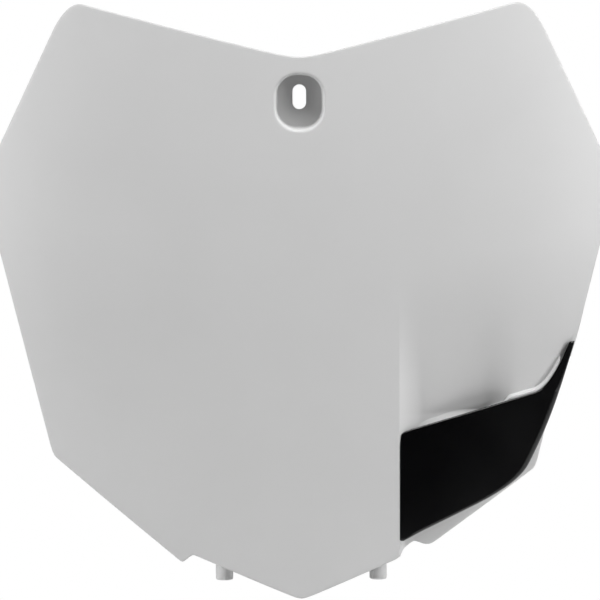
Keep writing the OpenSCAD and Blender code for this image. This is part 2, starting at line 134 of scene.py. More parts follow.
# Wall and rim
WALL = 2.4
RIM_W = 0.7
RIM_R = 0.6
RIM_INSET = 0.25
# Bow across, arch upwards, and the keel and the bends of the lower half
BOW_R = 300
ARCH_R = 1200
ARCH_Z = -120
KEEL_TOP_Z = -60
KEEL_FADE = 100
KEEL_SLOPE = 0.012
KEEL_SOFT = 2
BEND_X = 45
BEND_SLOPE = 0.015
BEND_SOFT = 4
# Dish to the right of the crease, as shares of the recess behind the cover
CREASE_X = 45.2
RECESS = 14.5
RECESS_WALL_W = 3
RECESS_LEAST = 0.3
RECESS_BACK_SHIFT = 0.8 * WALL
DISH_TOP_Z = -68
DISH_FULL_Z = -146
DISH_WALL_SHARE = 0.4
DISH_WALL_W = 11
DISH_FLOOR_SHARE = 0.36
DISH_FLOOR_START = 6
DISH_FLOOR_W = 32
DISH_RISE_SHARE = 0.32
DISH_RISE_START = 38
DISH_RISE_W = 18
COVERED_DROP = 2
COVERED_FADE = 6
# Cover's top edge, which the recess and the ledges follow, up to its horn
COVER_LEFT_Z = -154.4
COVER_RISE = 0.26
HORN_X = 120.6
HORN_Z = -114.2
HORN_FOOT = 9.6
HORN_SLOPE = 2.2
HORN_SOFT = 13.5
# Screw pocket, the cup that it makes behind, and the upright slot in its floor
POCKET_D = 9.6
POCKET_W = 21.4
POCKET_H = 24.8
POCKET_DRAFT = 0.3
POCKET_DROP = 1.75
POCKET_R = 0.44 * POCKET_W
FLOOR_W = POCKET_W - 2 * POCKET_DRAFT
FLOOR_H = POCKET_H - 2 * POCKET_DRAFT
CUP = 2
HOLE_W = POCKET_W + 2 * CUP
HOLE_H = POCKET_H + 2 * CUP
HOLE_R = POCKET_R + CUP
SLOT_W = 6.2
SLOT_L = 11.4


def clamp01(t):
    return min(1.0, max(0.0, t))


def ease(t):
    s = clamp01(t)
    return s * s * (3 - 2 * s)


def quarter(t):
    return math.sin(math.pi / 2 * clamp01(t))


def soft_max(a, b, k):
    return max(a, b) + max(k - abs(a - b), 0) ** 2 / (4 * k)


def soft_min(a, b, k):
    return -soft_max(-a, -b, k)


def soft_abs(x, s):
    return math.hypot(x, s)


TOP_SLOPE = (TOP_Z - NOTCH_Z) / TOP_X
UPPER_SLOPE = (BOARD_Z - TOP_Z) / (BOARD_X - TOP_X)
LOWER_SLOPE = (BOARD_Z - LOW_Z) / (BOARD_X - LOW_X)
upper_out = Vector((-UPPER_SLOPE, 1)).normalized()
lower_out = Vector((LOWER_SLOPE, -1)).normalized()
corner = Vector((BOARD_X, BOARD_Z)) - (upper_out + lower_out) * BOARD_R / (1 + upper_out.dot(lower_out))
END_MARGIN = 0.002
END_X = corner.x + BOARD_R - END_MARGIN


def corner_half(ax):
    return math.sqrt(max(0.0, BOARD_R ** 2 - (ax - corner.x) ** 2))


def upper_z(x):
    ax = abs(x)
    if ax > corner.x + BOARD_R * upper_out.x:
        return corner.y + corner_half(ax)
    top = NOTCH_Z + TOP_SLOPE * soft_abs(x, NOTCH_SOFT)
    return soft_min(top, BOARD_Z + UPPER_SLOPE * (ax - BOARD_X), TOP_SOFT)


def side_low_z(ax):
    if ax > corner.x + BOARD_R * lower_out.x:
        return corner.y - corner_half(ax)
    return BOARD_Z + LOWER_SLOPE * (ax - BOARD_X)


def middle_low_z(x):
    return TIP_Z + TIP_SLOPE * soft_abs(x, TIP_SOFT)


NOTCH_X = HOOK_X - HOOK_W
HOOK_Z = middle_low_z(NOTCH_X) - HOOK_FLANK * HOOK_W
HOOK_RISE = (LOW_Z - HOOK_Z) / (LOW_X - HOOK_X)
FLAP_Z0 = middle_low_z(FLAP[0])
FLAP_Z1 = FLAP_Z0 + FLAP_RISE[0] * (FLAP[1] - FLAP[0])
FLAP_Z2 = FLAP_Z1 + FLAP_RISE[1] * (FLAP[2] - FLAP[1])


def left_low_z(x):
    ax = -x
    side_line = soft_max(HOOK_Z + HOOK_RISE * (ax - HOOK_X), side_low_z(ax), LOW_SOFT)
    flank = soft_min(middle_low_z(x), HOOK_Z + HOOK_FLANK * (HOOK_X - ax), HOOK_NOTCH_SOFT)
    return soft_max(flank, side_line, HOOK_SOFT)


def right_low_z(x):
    if x < FLAP[0]:
        return middle_low_z(x)
    falling = FLAP_Z1 + FLAP_RISE[1] * (x - FLAP[1])
    flap = soft_max(falling, FLAP_Z2 + FLAP_RISE[2] * (x - FLAP[2]), FLAP_LOW_SOFT)
    if x < FLAP[2]:
        return soft_min(FLAP_Z0 + FLAP_RISE[0] * (x - FLAP[0]), flap, FLAP_TIP_SOFT)
    stepped = min(side_low_z(x + SIDE_STEP), HORN_Z - STEP_DROP)
    return max(side_low_z(x), soft_max(flap, stepped, STEP_SOFT))


def lower_z(x):
    return left_low_z(x) if x < 0 else right_low_z(x)


def outline_points():
    count = 170
    xs = {END_X * math.sin(math.pi / 2 * i / count) for i in range(-count, count + 1)}
    xs |= {-HOOK_X, -NOTCH_X, FLAP[0], FLAP[1], FLAP[2], 0.0}
    xs = sorted(xs)
    top = [Vector((x, 0, upper_z(x))) for x in xs]
    low = [Vector((x, 0, lower_z(x))) for x in reversed(xs)]
    return top + low


def inset_points(points, distance):
    moved = []
    for i, point in enumerate(points):
        ahead = points[(i + 1) % len(points)]
        along = (ahead - points[i - 1]).normalized()
        moved.append(point + Vector((along.z, 0, -along.x)) * distance)
    return moved


def arch_y(z):
    return (z - ARCH_Z) ** 2 / (2 * ARCH_R)


def face_y(x, z):
    """Depth of the bowed face at x and z, without the dish."""
    low = ease((KEEL_TOP_Z - z) / KEEL_FADE)
    keel = soft_abs(x, KEEL_SOFT) - KEEL_SOFT
    bend = soft_abs(max(abs(x) - BEND_X, 0), BEND_SOFT) - BEND_SOFT
    bow = BOW_R - math.sqrt(BOW_R ** 2 - x * x)
    return -POCKET_D - WALL + bow + arch_y(z) - arch_y(0) + low * (KEEL_SLOPE * keel + BEND_SLOPE * bend)


def cover_top_z(x):
    rising = COVER_LEFT_Z + COVER_RISE * (x - CREASE_X)
    return soft_max(rising, HORN_Z - HORN_FOOT + HORN_SLOPE * (x - HORN_X), HORN_SOFT)


def recess_y(x, z):
    """How far the dish, and the recess under the cover, lie behind the bowed face."""
    u = x - CREASE_X
    if u <= 0:
        return 0.0
    covered = ease((cover_top_z(max(x, CREASE_X)) - COVERED_DROP - z) / COVERED_FADE)
    fall = clamp01((DISH_TOP_Z - z) / (DISH_TOP_Z - DISH_FULL_Z)) ** 2
    wall = DISH_WALL_SHARE * quarter(u / DISH_WALL_W)
    floor = DISH_FLOOR_SHARE * ease((u - DISH_FLOOR_START) / DISH_FLOOR_W)
    rise = DISH_RISE_SHARE * ease((u - DISH_RISE_START) / DISH_RISE_W)
    behind = quarter(u / RECESS_WALL_W) * max(fall, RECESS_LEAST)
    return RECESS * (covered * behind + (1 - covered) * (wall + floor - rise) * fall)


def front_y(x, z):
    return face_y(x, z) + recess_y(x, z)


def inward(x, z):
    step = 0.25
    across = (face_y(x + step, z) - face_y(x - step, z)) / (2 * step)
    along = (face_y(x, z + step) - face_y(x, z - step)) / (2 * step)
    return Vector((-across, 1, -along)).normalized()


def rear_point(x, z):
    point = Vector((x, face_y(x, z), z)) + inward(x, z) * WALL
    point.y += recess_y(x + RECESS_BACK_SHIFT, z)
    return point


def ring_points(width, height, radius, steps=7):
    """Points round a rectangle with round corners, clockwise from the middle of its top."""
    middles = ((0, height / 2), (width / 2, 0), (0, -height / 2), (-width / 2, 0))
    points = []
    for k, middle in enumerate(middles):
        sx = 1 if k in (0, 1) else -1
        sz = 1 if k in (0, 3) else -1
        start = math.pi / 2 - k * math.pi / 2
        points.append(Vector((middle[0], 0, middle[1])))
        for i in range(steps + 1):
            a = start - math.pi / 2 * i / steps
            points.append(Vector((
                sx * (width / 2 - radius) + radius * math.cos(a), 0,
                sz * (height / 2 - radius) + radius * math.sin(a))))
    return [p - Vector((0, 0, POCKET_DROP)) for p in points]


def loop_edges(mesh, ring):
    return [mesh.edges.get((ring[i - 1], ring[i])) for i in range(len(ring))]


def grow_ring(mesh, ring, places):
    """Extrudes a closed ring of vertices, puts the new one at places, and returns it."""
    made = bmesh.ops.extrude_edge_only(mesh, edges=loop_edges(mesh, ring))["geom"]
    fresh = {v for v in made if isinstance(v, bmesh.types.BMVert)}
    grown = []
    for vert, spot in zip(ring, places):
        mate = next(e.other_vert(vert) for e in vert.link_edges if e.other_vert(vert) in fresh)
        mate.co = spot
        grown.append(mate)
    return grown


def boundary_rings(mesh):
    """Rings of vertices round a mesh's open borders, the longest first."""
    left = {e for e in mesh.edges if e.is_boundary}
    rings = []
    while left:
        edge = left.pop()
        ring = [edge.verts[0], edge.verts[1]]
        while True:
            step = next((e for e in ring[-1].link_edges if e in left), None)
            if step is None:
                break
            left.discard(step)
            ring.append(step.other_vert(ring[-1]))
        if ring[-1] == ring[0]:
            ring.pop()
        rings.append(ring)
    return sorted(rings, key=len, reverse=True)


def join_rings(mesh, ring_a, ring_b):
    bmesh.ops.bridge_loops(mesh, edges=loop_edges(mesh, ring_a) + loop_edges(mesh, ring_b))


def round_rim(mesh, ring, mates, width, radius, steps=4):
    """Grows a rounded rim, as wide as width, from a sheet's boundary to that of its rear sheet."""
    count = len(ring)
    spots = [v.co.copy() for v in ring]
    backs = [v.co.copy() for v in mates]
    middle = sum(spots, Vector()) / count
    outs = []
    for i in range(count):
        along = (spots[(i + 1) % count] - spots[i - 1]).normalized()
        outs.append(along.cross((backs[i] - spots[i]).normalized()).normalized())
    if sum(o.dot(p - middle) for o, p in zip(outs, spots)) < 0:
        outs = [-o for o in outs]
    inner = [(b - s).normalized() for s, b in zip(spots, backs)]
    last = ring
    for origins, sign, turns in ((spots, 1, range(1, steps + 1)), (backs, -1, range(steps, 0, -1))):
        for k in turns:
            a = math.pi / 2 * k / steps
            last = grow_ring(mesh, last, [
                s + o * width * math.sin(a) + n * sign * radius * (1 - math.cos(a))
                for s, o, n in zip(origins, outs, inner)])
    join_rings(mesh, last, mates)


def cut_planes(mesh, places, axis):
    for spot in places:
        geometry = mesh.verts[:] + mesh.edges[:] + mesh.faces[:]
        bmesh.ops.bisect_plane(mesh, geom=geometry, dist=0.01, plane_co=axis * spot, plane_no=axis)


def spaced(low, high, step):
    count = round((high - low) / step)
    return [low + (high - low) * i / count for i in range(count + 1)]


# Cuts through the flat sheet, close together at the crease and along the cover's top edge
CUTS_ACROSS = spaced(-142, 44, 2) + spaced(44.4, 50, 0.4) + spaced(50.8, 58, 0.9) + spaced(60, 142, 1.6)
CUTS_UPWARD = spaced(-230, -162, 2) + spaced(-160, -108, 1) + spaced(-106, 44, 2)

shield_mesh = bmesh.new()
outer = [shield_mesh.verts.new(p) for p in inset_points(outline_points(), RIM_INSET)]
hole = [shield_mesh.verts.new(p) for p in ring_points(HOLE_W, HOLE_H, HOLE_R)]
half = len(outer) // 2
top_mid = half // 2
low_mid = half + half // 2
hole_half = len(hole) // 2
right_face = outer[top_mid:low_mid + 1] + hole[:hole_half + 1][::-1]
left_face = outer[low_mid:] + outer[:top_mid + 1] + [hole[0]] + hole[hole_half:][::-1]
shield_mesh.faces.new(right_face)
shield_mesh.faces.new(left_face)
cut_planes(shield_mesh, CUTS_ACROSS, Vector((1, 0, 0)))
cut_planes(shield_mesh, CUTS_UPWARD, Vector((0, 0, 1)))
for vert in shield_mesh.verts:
    vert.co.y = front_y(vert.co.x, vert.co.z)

front_faces = shield_mesh.faces[:]
copied = bmesh.ops.duplicate(shield_mesh, geom=shield_mesh.verts[:] + shield_mesh.edges[:] + front_faces)
rear_of = copied["vert_map"]
rear_faces = [f for f in copied["geom"] if isinstance(f, bmesh.types.BMFace)]
front_verts = {v for f in front_faces for v in f.verts}
for vert in front_verts:
    rear_of[vert].co = rear_point(vert.co.x, vert.co.z)
bmesh.ops.reverse_faces(shield_mesh, faces=rear_faces)

rings = [r for r in boundary_rings(shield_mesh) if r[0] in front_verts]
rim, hole_ring = rings[0], rings[1]
round_rim(shield_mesh, rim, [rear_of[v] for v in rim], RIM_W, RIM_R)


# The pocket is grown ring by ring from the hole in the face: a rounded mouth, drafted walls, a flat
# floor with the upright slot, the seat behind it, and the cup's outside back to the shield's rear.

MOUTH_R = 1.5
FLOOR_R = 0.5
ROUND_STEPS = 5
SLOT_FLAT = 1.5
SLOT_BEVEL = 0.25
CUP_ROUND = 1.4
CUP_BEVEL = 0.4
CUP_FLARE = 0.1
CUP_FLARE_D = 1.6


def ring_spot(point, width, height, radius, y):
    """Moves a point of the hole's ring to the same place on a ring of another size."""
    core_x = HOLE_W / 2 - HOLE_R
    core_z = HOLE_H / 2 - HOLE_R
    flat = Vector((point.x, 0, point.z + POCKET_DROP))
    core = Vector((max(-core_x, min(core_x, flat.x)), 0, max(-core_z, min(core_z, flat.z))))
    out = (flat - core).normalized()
    core.x *= (width / 2 - radius) / core_x
    core.z *= (height / 2 - radius) / core_z
    spot = core + out * radius
    return Vector((spot.x, y, spot.z - POCKET_DROP))


def pocket_ring(ring, origin, inset, depth):
    share = clamp01(depth / POCKET_D)
    spots = []
    for point in origin:
        spot = ring_spot(point, POCKET_W - 2 * inset, POCKET_H - 2 * inset, POCKET_R - inset, 0)
        from_face = face_y(spot.x, spot.z) + depth
        from_floor = -WALL - POCKET_D + depth
        spot.y = (1 - share) * from_face + share * from_floor
        spots.append(spot)
    return grow_ring(shield_mesh, ring, spots)


def slot_ring(margin, y):
    return SLOT_W + 2 * margin, SLOT_L + 2 * margin, SLOT_W / 2 + margin, y


def cup_ring(margin, y):
    wall = CUP + margin
    return FLOOR_W + 2 * wall, FLOOR_H + 2 * wall, POCKET_R + CUP_ROUND + margin, y


origin = [v.co.copy() for v in hole_ring]
ring = hole_ring
for k in range(ROUND_STEPS + 1):
    a = math.pi / 2 * k / ROUND_STEPS
    ring = pocket_ring(ring, origin, -MOUTH_R * (1 - math.sin(a)), MOUTH_R * (1 - math.cos(a)))
for k in range(ROUND_STEPS + 1):
    a = math.pi / 2 * k / ROUND_STEPS
    inset = POCKET_DRAFT + FLOOR_R * (1 - math.cos(a))
    ring = pocket_ring(ring, origin, inset, POCKET_D - FLOOR_R * (1 - math.sin(a)))

slot_rings = (
    slot_ring(SLOT_FLAT, -WALL),
    slot_ring(SLOT_BEVEL, -WALL),
    slot_ring(0, -WALL + SLOT_BEVEL),
    slot_ring(0, -SLOT_BEVEL),
    slot_ring(SLOT_BEVEL, 0),
)
cup_rings = (
    cup_ring(-CUP_BEVEL, 0),
    cup_ring(0, -CUP_BEVEL),
    cup_ring(CUP_FLARE, -CUP_FLARE_D),
)
for sizes, lift in ((slot_rings, POCKET_DROP), (cup_rings, 0)):
    for width, height, radius, y in sizes:
        spots = [ring_spot(p, width, height, radius, y) + Vector((0, 0, lift)) for p in origin]
        ring = grow_ring(shield_mesh, ring, spots)
join_rings(shield_mesh, ring, [rear_of[v] for v in hole_ring])


# Locating pegs with their webs, the screw pads, and the ledges that stand on the dish's floor along
# the cover's top edge, moulded in one with the shield.

EMBED = 1.2
# Pegs, pointing down, with a thicker root and a web to the wall
PEG_X = 35.4
PEG_Y = -4
PEG_R = 4
PEG_END_Z = -222.6
PEG_L = 16
PEG_EDGE = 0.9
PEG_ROOT_R = 5
PEG_ROOT_L = 9
PEG_ROOT_EDGE = 0.5
PEG_OVERLAP = 1
WEB_T = 5
WEB_RISE = 9
# Screw pads, through the recess's floor
SCREWS = ((61, -172), (104.8, -152))
PAD_R = 5
PAD_T = 7.5
PAD_FRONT = 2
PAD_EDGE = 0.4
# Ledges: crown is the crown's width, foot how far it runs out, lift its height over the floor, and
# fades how far from each end it takes to sink into the floor
LEDGES = (
    {"ends": (CREASE_X + 4.5, 86), "crown": 0.5, "foot": 6.0, "lift": 1.7, "fades": (10, 16)},
    {"ends": (84, HORN_X), "crown": 1.5, "foot": 0.9, "lift": 20.0, "fades": (16, 0.3)},
)
LEDGE_ROWS = 60
LEDGE_DEPTH = 0.9
LEDGE_BURIED = 0.3
LEDGE_ABOVE = 0.35
LEDGE_TUCK = 2.35
LEDGE_TUCK_D = 1.6
LEDGE_TUCK_FADE = 1.5
LEDGE_R = 0.4
LEDGE_R_LIMIT = 2.2
CORNER_SHARE = 0.3
FOOT_STEPS = 8
FOOT_BURIED = 0.25


def add_post(mesh, foot, direction, radius, length, edge):
    """Adds a round post with bevelled ends."""
    turned = Vector((0, 0, 1)).rotation_difference(direction).to_matrix().to_4x4()
    where = Matrix.Translation(foot + direction * length / 2) @ turned
    made = bmesh.ops.create_cone(
        mesh, cap_ends=True, cap_tris=False, segments=56, radius1=radius, radius2=radius, depth=length,
        matrix=where)["verts"]
    caps = [f for f in {f for v in made for f in v.link_faces} if len(f.verts) > 4]
    bmesh.ops.bevel(
        mesh, geom=list({e for f in caps for e in f.edges}), offset=edge, offset_type="OFFSET", segments=3,
        profile=0.5, affect="EDGES", material=-1)


def add_slab(mesh, corners, thickness):
    face = mesh.faces.new([mesh.verts.new(c) for c in corners])
    grown = bmesh.ops.extrude_face_region(mesh, geom=[face])["geom"]
    moved = [v for v in grown if isinstance(v, bmesh.types.BMVert)]
    bmesh.ops.translate(mesh, verts=moved, vec=(thickness, 0, 0))


def ledge_row(x, crown_t, foot, lift, sink):
    """Section of a ledge: steep under the cover's edge, rounded crown, and a foot that runs out."""
    edge_z = cover_top_z(x)
    face = face_y(x, edge_z)
    floor = front_y(x, edge_z)
    standing = max(face + LEDGE_DEPTH, floor - lift)
    crown = standing + sink * max(0, floor + LEDGE_BURIED - standing)
    low = edge_z + LEDGE_ABOVE - LEDGE_TUCK * clamp01((crown - face - LEDGE_TUCK_D) / LEDGE_TUCK_FADE)
    tall = crown_t * math.hypot(1, cover_top_z(x + 0.5) - cover_top_z(x - 0.5))
    high = low + tall
    r = min(LEDGE_R, tall / LEDGE_R_LIMIT)
    row = [
        (front_y(x, low) + EMBED, low),
        (crown + r, low),
        (crown + CORNER_SHARE * r, low + CORNER_SHARE * r),
        (crown, low + r),
        (crown, high - r),
    ]
    for k in range(1, FOOT_STEPS + 1):
        t = k / FOOT_STEPS
        z = high - r + (foot + r) * t
        floor = front_y(x, z) + FOOT_BURIED
        row.append((crown + (floor - crown) * (1 - (1 - t) ** 2), z))
    row.append((front_y(x, high + foot) + EMBED, high + foot))
    return [Vector((x, y, z)) for y, z in row]


def add_ledge(mesh, ends, crown, foot, lift, fades):
    x0, x1 = ends
    rows = []
    for i in range(LEDGE_ROWS + 1):
        x = x0 + (x1 - x0) * i / LEDGE_ROWS
        sink = max(1 - ease((x - x0) / fades[0]), ease((x - x1 + fades[1]) / fades[1]))
        rows.append(ledge_row(x, crown, foot, lift, sink))
    ring = [mesh.verts.new(p) for p in rows[0]]
    first_edges = [mesh.edges.new((ring[i - 1], ring[i])) for i in range(len(ring))]
    bmesh.ops.contextual_create(mesh, geom=first_edges)
    for row in rows[1:]:
        ring = grow_ring(mesh, ring, row)
    bmesh.ops.contextual_create(mesh, geom=loop_edges(mesh, ring))


def peg_web(x, low_z, high_z):
    """Corners of a peg's web, on its left side."""
    left = x - WEB_T / 2
    return [
        Vector((left, face_y(x, low_z) + EMBED, low_z)),
        Vector((left, PEG_Y, low_z)),
        Vector((left, PEG_Y, high_z)),
        Vector((left, face_y(x, high_z + WEB_RISE) + EMBED, high_z + WEB_RISE)),
    ]


UPWARD = Vector((0, 0, 1))
REARWARD = Vector((0, 1, 0))
fittings = bmesh.new()
root_z = PEG_END_Z + PEG_L
for x in (-PEG_X, PEG_X):
    add_post(fittings, Vector((x, PEG_Y, PEG_END_Z)), UPWARD, PEG_R, PEG_L + PEG_OVERLAP, PEG_EDGE)
    add_post(fittings, Vector((x, PEG_Y, root_z)), UPWARD, PEG_ROOT_R, PEG_ROOT_L, PEG_ROOT_EDGE)
    add_slab(fittings, peg_web(x, root_z, root_z + PEG_ROOT_L), WEB_T)
for x, z in SCREWS:
    add_post(fittings, Vector((x, front_y(x, z) - PAD_FRONT, z)), REARWARD, PAD_R, PAD_T, PAD_EDGE)
for ledge in LEDGES:
    add_ledge(fittings, **ledge)
bmesh.ops.recalc_face_normals(fittings, faces=fittings.faces[:])

SHARP_ANGLE = math.radians(38)


def finish_piece(name, parts, node):
    """Joins the bmeshes of a piece, scales them to metres, and hands the piece to the frame."""
    data = bpy.data.meshes.new(name)
    whole = bmesh.new()
    for part in parts:
        bmesh.ops.scale(part, vec=(MM, MM, MM), verts=part.verts[:])
        part.to_mesh(data)
        part.free()
        whole.from_mesh(data)
    for face in whole.faces:
        face.smooth = True
    for edge in whole.edges:
        edge.smooth = not edge.is_manifold or edge.calc_face_angle(0) < SHARP_ANGLE
    whole.to_mesh(data)
    whole.free()
    piece = bpy.data.objects.new(name, data)
    bpy.context.collection.objects.link(piece)
    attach(piece, "root")
    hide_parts(node)
    return piece


bmesh.ops.recalc_face_normals(shield_mesh, faces=shield_mesh.faces[:])
shield = finish_piece("shield_moulding", [shield_mesh, fittings], "shield")


# Injection-moulded polypropylene, dyed white through: a satin skin with a fine spark-eroded grain, a
# little uneven in tone and gloss where the melt met the tool. The real grain, about a tenth of a
# millimetre, is too fine to show, so it is drawn coarser, at the width in millimetres given below.

PP_IOR = 1.49
FLOW_MM = 45
GLOSS_SPREAD = 0.03
GRAIN_STRENGTH = 0.35


def linear(hex_code):
    channels = [int(hex_code[i:i + 2], 16) / 255 for i in (0, 2, 4)]
    return [c / 12.92 if c <= 0.04045 else ((c + 0.055) / 1.055) ** 2.4 for c in channels] + [1.0]


def add(material, kind, settings=None, links=None):
    """Adds a node. A number in place of a name counts the node's inputs from 0."""
    node = material.node_tree.nodes.new(kind)
    for name, value in (settings or {}).items():
        if isinstance(name, int) or name in node.inputs:
            node.inputs[name].default_value = value
        else:
            setattr(node, name, value)
    for name, socket in (links or {}).items():
        material.node_tree.links.new(socket, node.inputs[name])
    return node


def new_material(name):
    material = bpy.data.materials.new(name)
    material.use_nodes = True
    material.node_tree.nodes.clear()
    return material


def moulded_plastic(name, dark, light, roughness, grain_mm, grain_height_mm):
    material = new_material(name)
    place = add(material, "ShaderNodeTexCoord").outputs["Object"]
    flow = add(material, "ShaderNodeTexNoise", {"Scale": 1 / (FLOW_MM * MM), "Detail": 2.0},
               {"Vector": place})
    grain = add(material, "ShaderNodeTexNoise", {"Scale": 1 / (grain_mm * MM), "Detail": 3.0},
                {"Vector": place})
    colour = add(material, "ShaderNodeMix", {"data_type": "RGBA", 6: linear(dark), 7: linear(light)},
                 {0: flow.outputs["Fac"]})
    gloss = add(material, "ShaderNodeMapRange", {
        "From Min": 0.3, "From Max": 0.7,
        "To Min": roughness - GLOSS_SPREAD, "To Max": roughness + GLOSS_SPREAD},
        {"Value": flow.outputs["Fac"]})
    bump = add(material, "ShaderNodeBump", {"Strength": GRAIN_STRENGTH, "Distance": grain_height_mm * MM},
               {"Height": grain.outputs["Fac"]})
    shader = add(material, "ShaderNodeBsdfPrincipled", {"IOR": PP_IOR}, {
        "Base Color": colour.outputs[2], "Roughness": gloss.outputs["Result"],
        "Normal": bump.outputs["Normal"]})
    add(material, "ShaderNodeOutputMaterial", None, {"Surface": shader.outputs["BSDF"]})
    return material


white_plastic = moulded_plastic(
    "moulded_white_polypropylene", "D2D2D2", "D6D6D6", roughness=0.42, grain_mm=0.7, grain_height_mm=0.03)
shield.data.materials.append(white_plastic)


# Black hose cover: a second moulding, of black polypropylene, that carries on the shield's face over
# the hose recess. Its horn climbs the right edge, its right side rolls back into a flank, and two
# bosses behind it take the screws.

COVER_T = 2.2
COVER_EDGE_R = 0.5
COVER_ACROSS = 100
# Left edge, beside the crease
COVER_GAP = 0.6
COVER_LEFT_X = CREASE_X + COVER_GAP
LEFT_LEAN = 0.45
LEFT_SOFT = 6
# Lower edge
COVER_LOW_Z = -204.6
COVER_LOW_SLOPE = 0.46
COVER_LOW_START = 0.6
# Right edge, which leans and bends inwards on its way down
COVER_RIGHT_X = 127.1
COVER_LEAN = 0.31
COVER_BEND = 0.003
COVER_BEND_Z = -134
COVER_CORNER_SOFT = 14
# Roll of the right edge, and the flank behind it
ROLL_R = 4.5
ROLL_SHARE = 0.45
ROLL_LEAST_W = 0.7
ROLL_WALL_SHARE = 0.7
FLANK_END = math.pi / 2 - math.radians(2)
FLANK_LOW_Z = -180
FLANK_FADE = 22
FLANK_GAP = 0.9
FLANK_LEAST = 0.2
# Shares of a row of the mesh, across the face, round the roll and along the flank
FACE_PART = 0.6
ROLL_PART = 0.2
FLANK_PART = 0.2
# Rows of the mesh, close together where the top edge climbs
CLIMB_LOW_Z = COVER_LEFT_Z - 1
CLIMB_HIGH_Z = COVER_LEFT_Z + 19
COVER_ROWS = (
    spaced(COVER_LOW_Z + 0.8, CLIMB_LOW_Z, 1.0)[:-1]
    + spaced(CLIMB_LOW_Z, CLIMB_HIGH_Z, 0.33)[:-1]
    + spaced(CLIMB_HIGH_Z, HORN_Z - 1, 0.6))
# Screw bosses
BOSS_R = 3.8
BOSS_EMBED = 0.8
BOSS_EDGE = 0.2

# Top edge as pairs of height and place, to find the place at a given height
TOP_PAIRS = 400
TOP_START_X = CREASE_X - 30
top_table = []
for i in range(TOP_PAIRS):
    x = TOP_START_X + (COVER_RIGHT_X - TOP_START_X) * i / (TOP_PAIRS - 1)
    top_table.append((cover_top_z(x), x))


def top_edge_x(z):
    for (z0, x0), (z1, x1) in zip(top_table, top_table[1:]):
        if z <= z1:
            return x0 + (x1 - x0) * clamp01((z - z0) / (z1 - z0))
    return top_table[-1][1]


def cover_left(z):
    leaning = COVER_LEFT_X - LEFT_LEAN * clamp01((COVER_LEFT_Z - z) / (COVER_LEFT_Z - COVER_LOW_Z))
    return soft_max(leaning, top_edge_x(z), LEFT_SOFT) + COVER_EDGE_R


def cover_right(z):
    beside = COVER_RIGHT_X + COVER_LEAN * (z - HORN_Z) - COVER_BEND * max(0, COVER_BEND_Z - z) ** 2
    below = COVER_LEFT_X + COVER_LOW_START + (z - COVER_LOW_Z) / COVER_LOW_SLOPE
    return soft_min(beside, below, COVER_CORNER_SOFT)


def cover_roll(z):
    return min(ROLL_R, ROLL_SHARE * max(ROLL_LEAST_W, cover_right(z) - cover_left(z)))


def cover_wall(z):
    return min(COVER_T, ROLL_WALL_SHARE * cover_roll(z))


def cover_point(u, z):
    """Point of the cover's outside at the share u of its width: face, roll and flank in turn."""
    r = cover_roll(z)
    edge = cover_right(z)
    lean = math.atan(face_y(edge - r + 0.5, z) - face_y(edge - r - 0.5, z))
    cx = edge - r * math.sin(FLANK_END)
    x0 = cover_left(z)
    x1 = cx + r * math.sin(lean)
    cy = face_y(x1, z) + r * math.cos(lean)
    if u < FACE_PART:
        x = x0 + (x1 - x0) * u / FACE_PART
        return Vector((x, face_y(x, z), z))
    if u < FACE_PART + ROLL_PART:
        a = lean + (FLANK_END - lean) * (u - FACE_PART) / ROLL_PART
        return Vector((cx + r * math.sin(a), cy - r * math.cos(a), z))
    rear = front_y(edge - cover_wall(z), z) - FLANK_GAP - COVER_EDGE_R
    depth = (rear - cy + r * math.cos(FLANK_END)) * ease((z - FLANK_LOW_Z) / FLANK_FADE)
    along = max(FLANK_LEAST, depth) * (u - FACE_PART - ROLL_PART) / FLANK_PART
    flank = Vector((math.cos(FLANK_END), math.sin(FLANK_END), 0))
    return Vector((cx + r * math.sin(FLANK_END), cy - r * math.cos(FLANK_END), z)) + flank * along


cover_mesh = bmesh.new()
bmesh.ops.create_grid(cover_mesh, x_segments=COVER_ACROSS, y_segments=len(COVER_ROWS) - 1, size=0.5)
for vert in cover_mesh.verts:
    row = round((vert.co.y + 0.5) * (len(COVER_ROWS) - 1))
    vert.co = cover_point(clamp01(vert.co.x + 0.5), COVER_ROWS[row])
cover_mesh.normal_update()
if sum(f.normal.y for f in cover_mesh.faces) > 0:
    bmesh.ops.reverse_faces(cover_mesh, faces=cover_mesh.faces[:])
    cover_mesh.normal_update()

outside = cover_mesh.faces[:]
copied = bmesh.ops.duplicate(cover_mesh, geom=cover_mesh.verts[:] + cover_mesh.edges[:] + outside)
inside = [f for f in copied["geom"] if isinstance(f, bmesh.types.BMFace)]
inside_of = copied["vert_map"]
outside_verts = {v for f in outside for v in f.verts}
for vert in outside_verts:
    inside_of[vert].co = vert.co - vert.normal * cover_wall(vert.co.z)
bmesh.ops.reverse_faces(cover_mesh, faces=inside)
cover_rim = next(r for r in boundary_rings(cover_mesh) if r[0] in outside_verts)
round_rim(cover_mesh, cover_rim, [inside_of[v] for v in cover_rim], COVER_EDGE_R, COVER_EDGE_R)
bmesh.ops.recalc_face_normals(cover_mesh, faces=cover_mesh.faces[:])

bosses = bmesh.new()
for x, z in SCREWS:
    start = Vector((x, face_y(x, z) + COVER_T - BOSS_EMBED, z))
    add_post(bosses, start, REARWARD, BOSS_R, front_y(x, z) - PAD_FRONT - start.y, BOSS_EDGE)
bmesh.ops.recalc_face_normals(bosses, faces=bosses.faces[:])

hose_cover = finish_piece("hose_cover_moulding", [cover_mesh, bosses], "hose_cover")
black_plastic = moulded_plastic(
    "moulded_black_polypropylene", "020203", "040405", roughness=0.2, grain_mm=0.6, grain_height_mm=0.02)
hose_cover.data.materials.append(black_plastic)


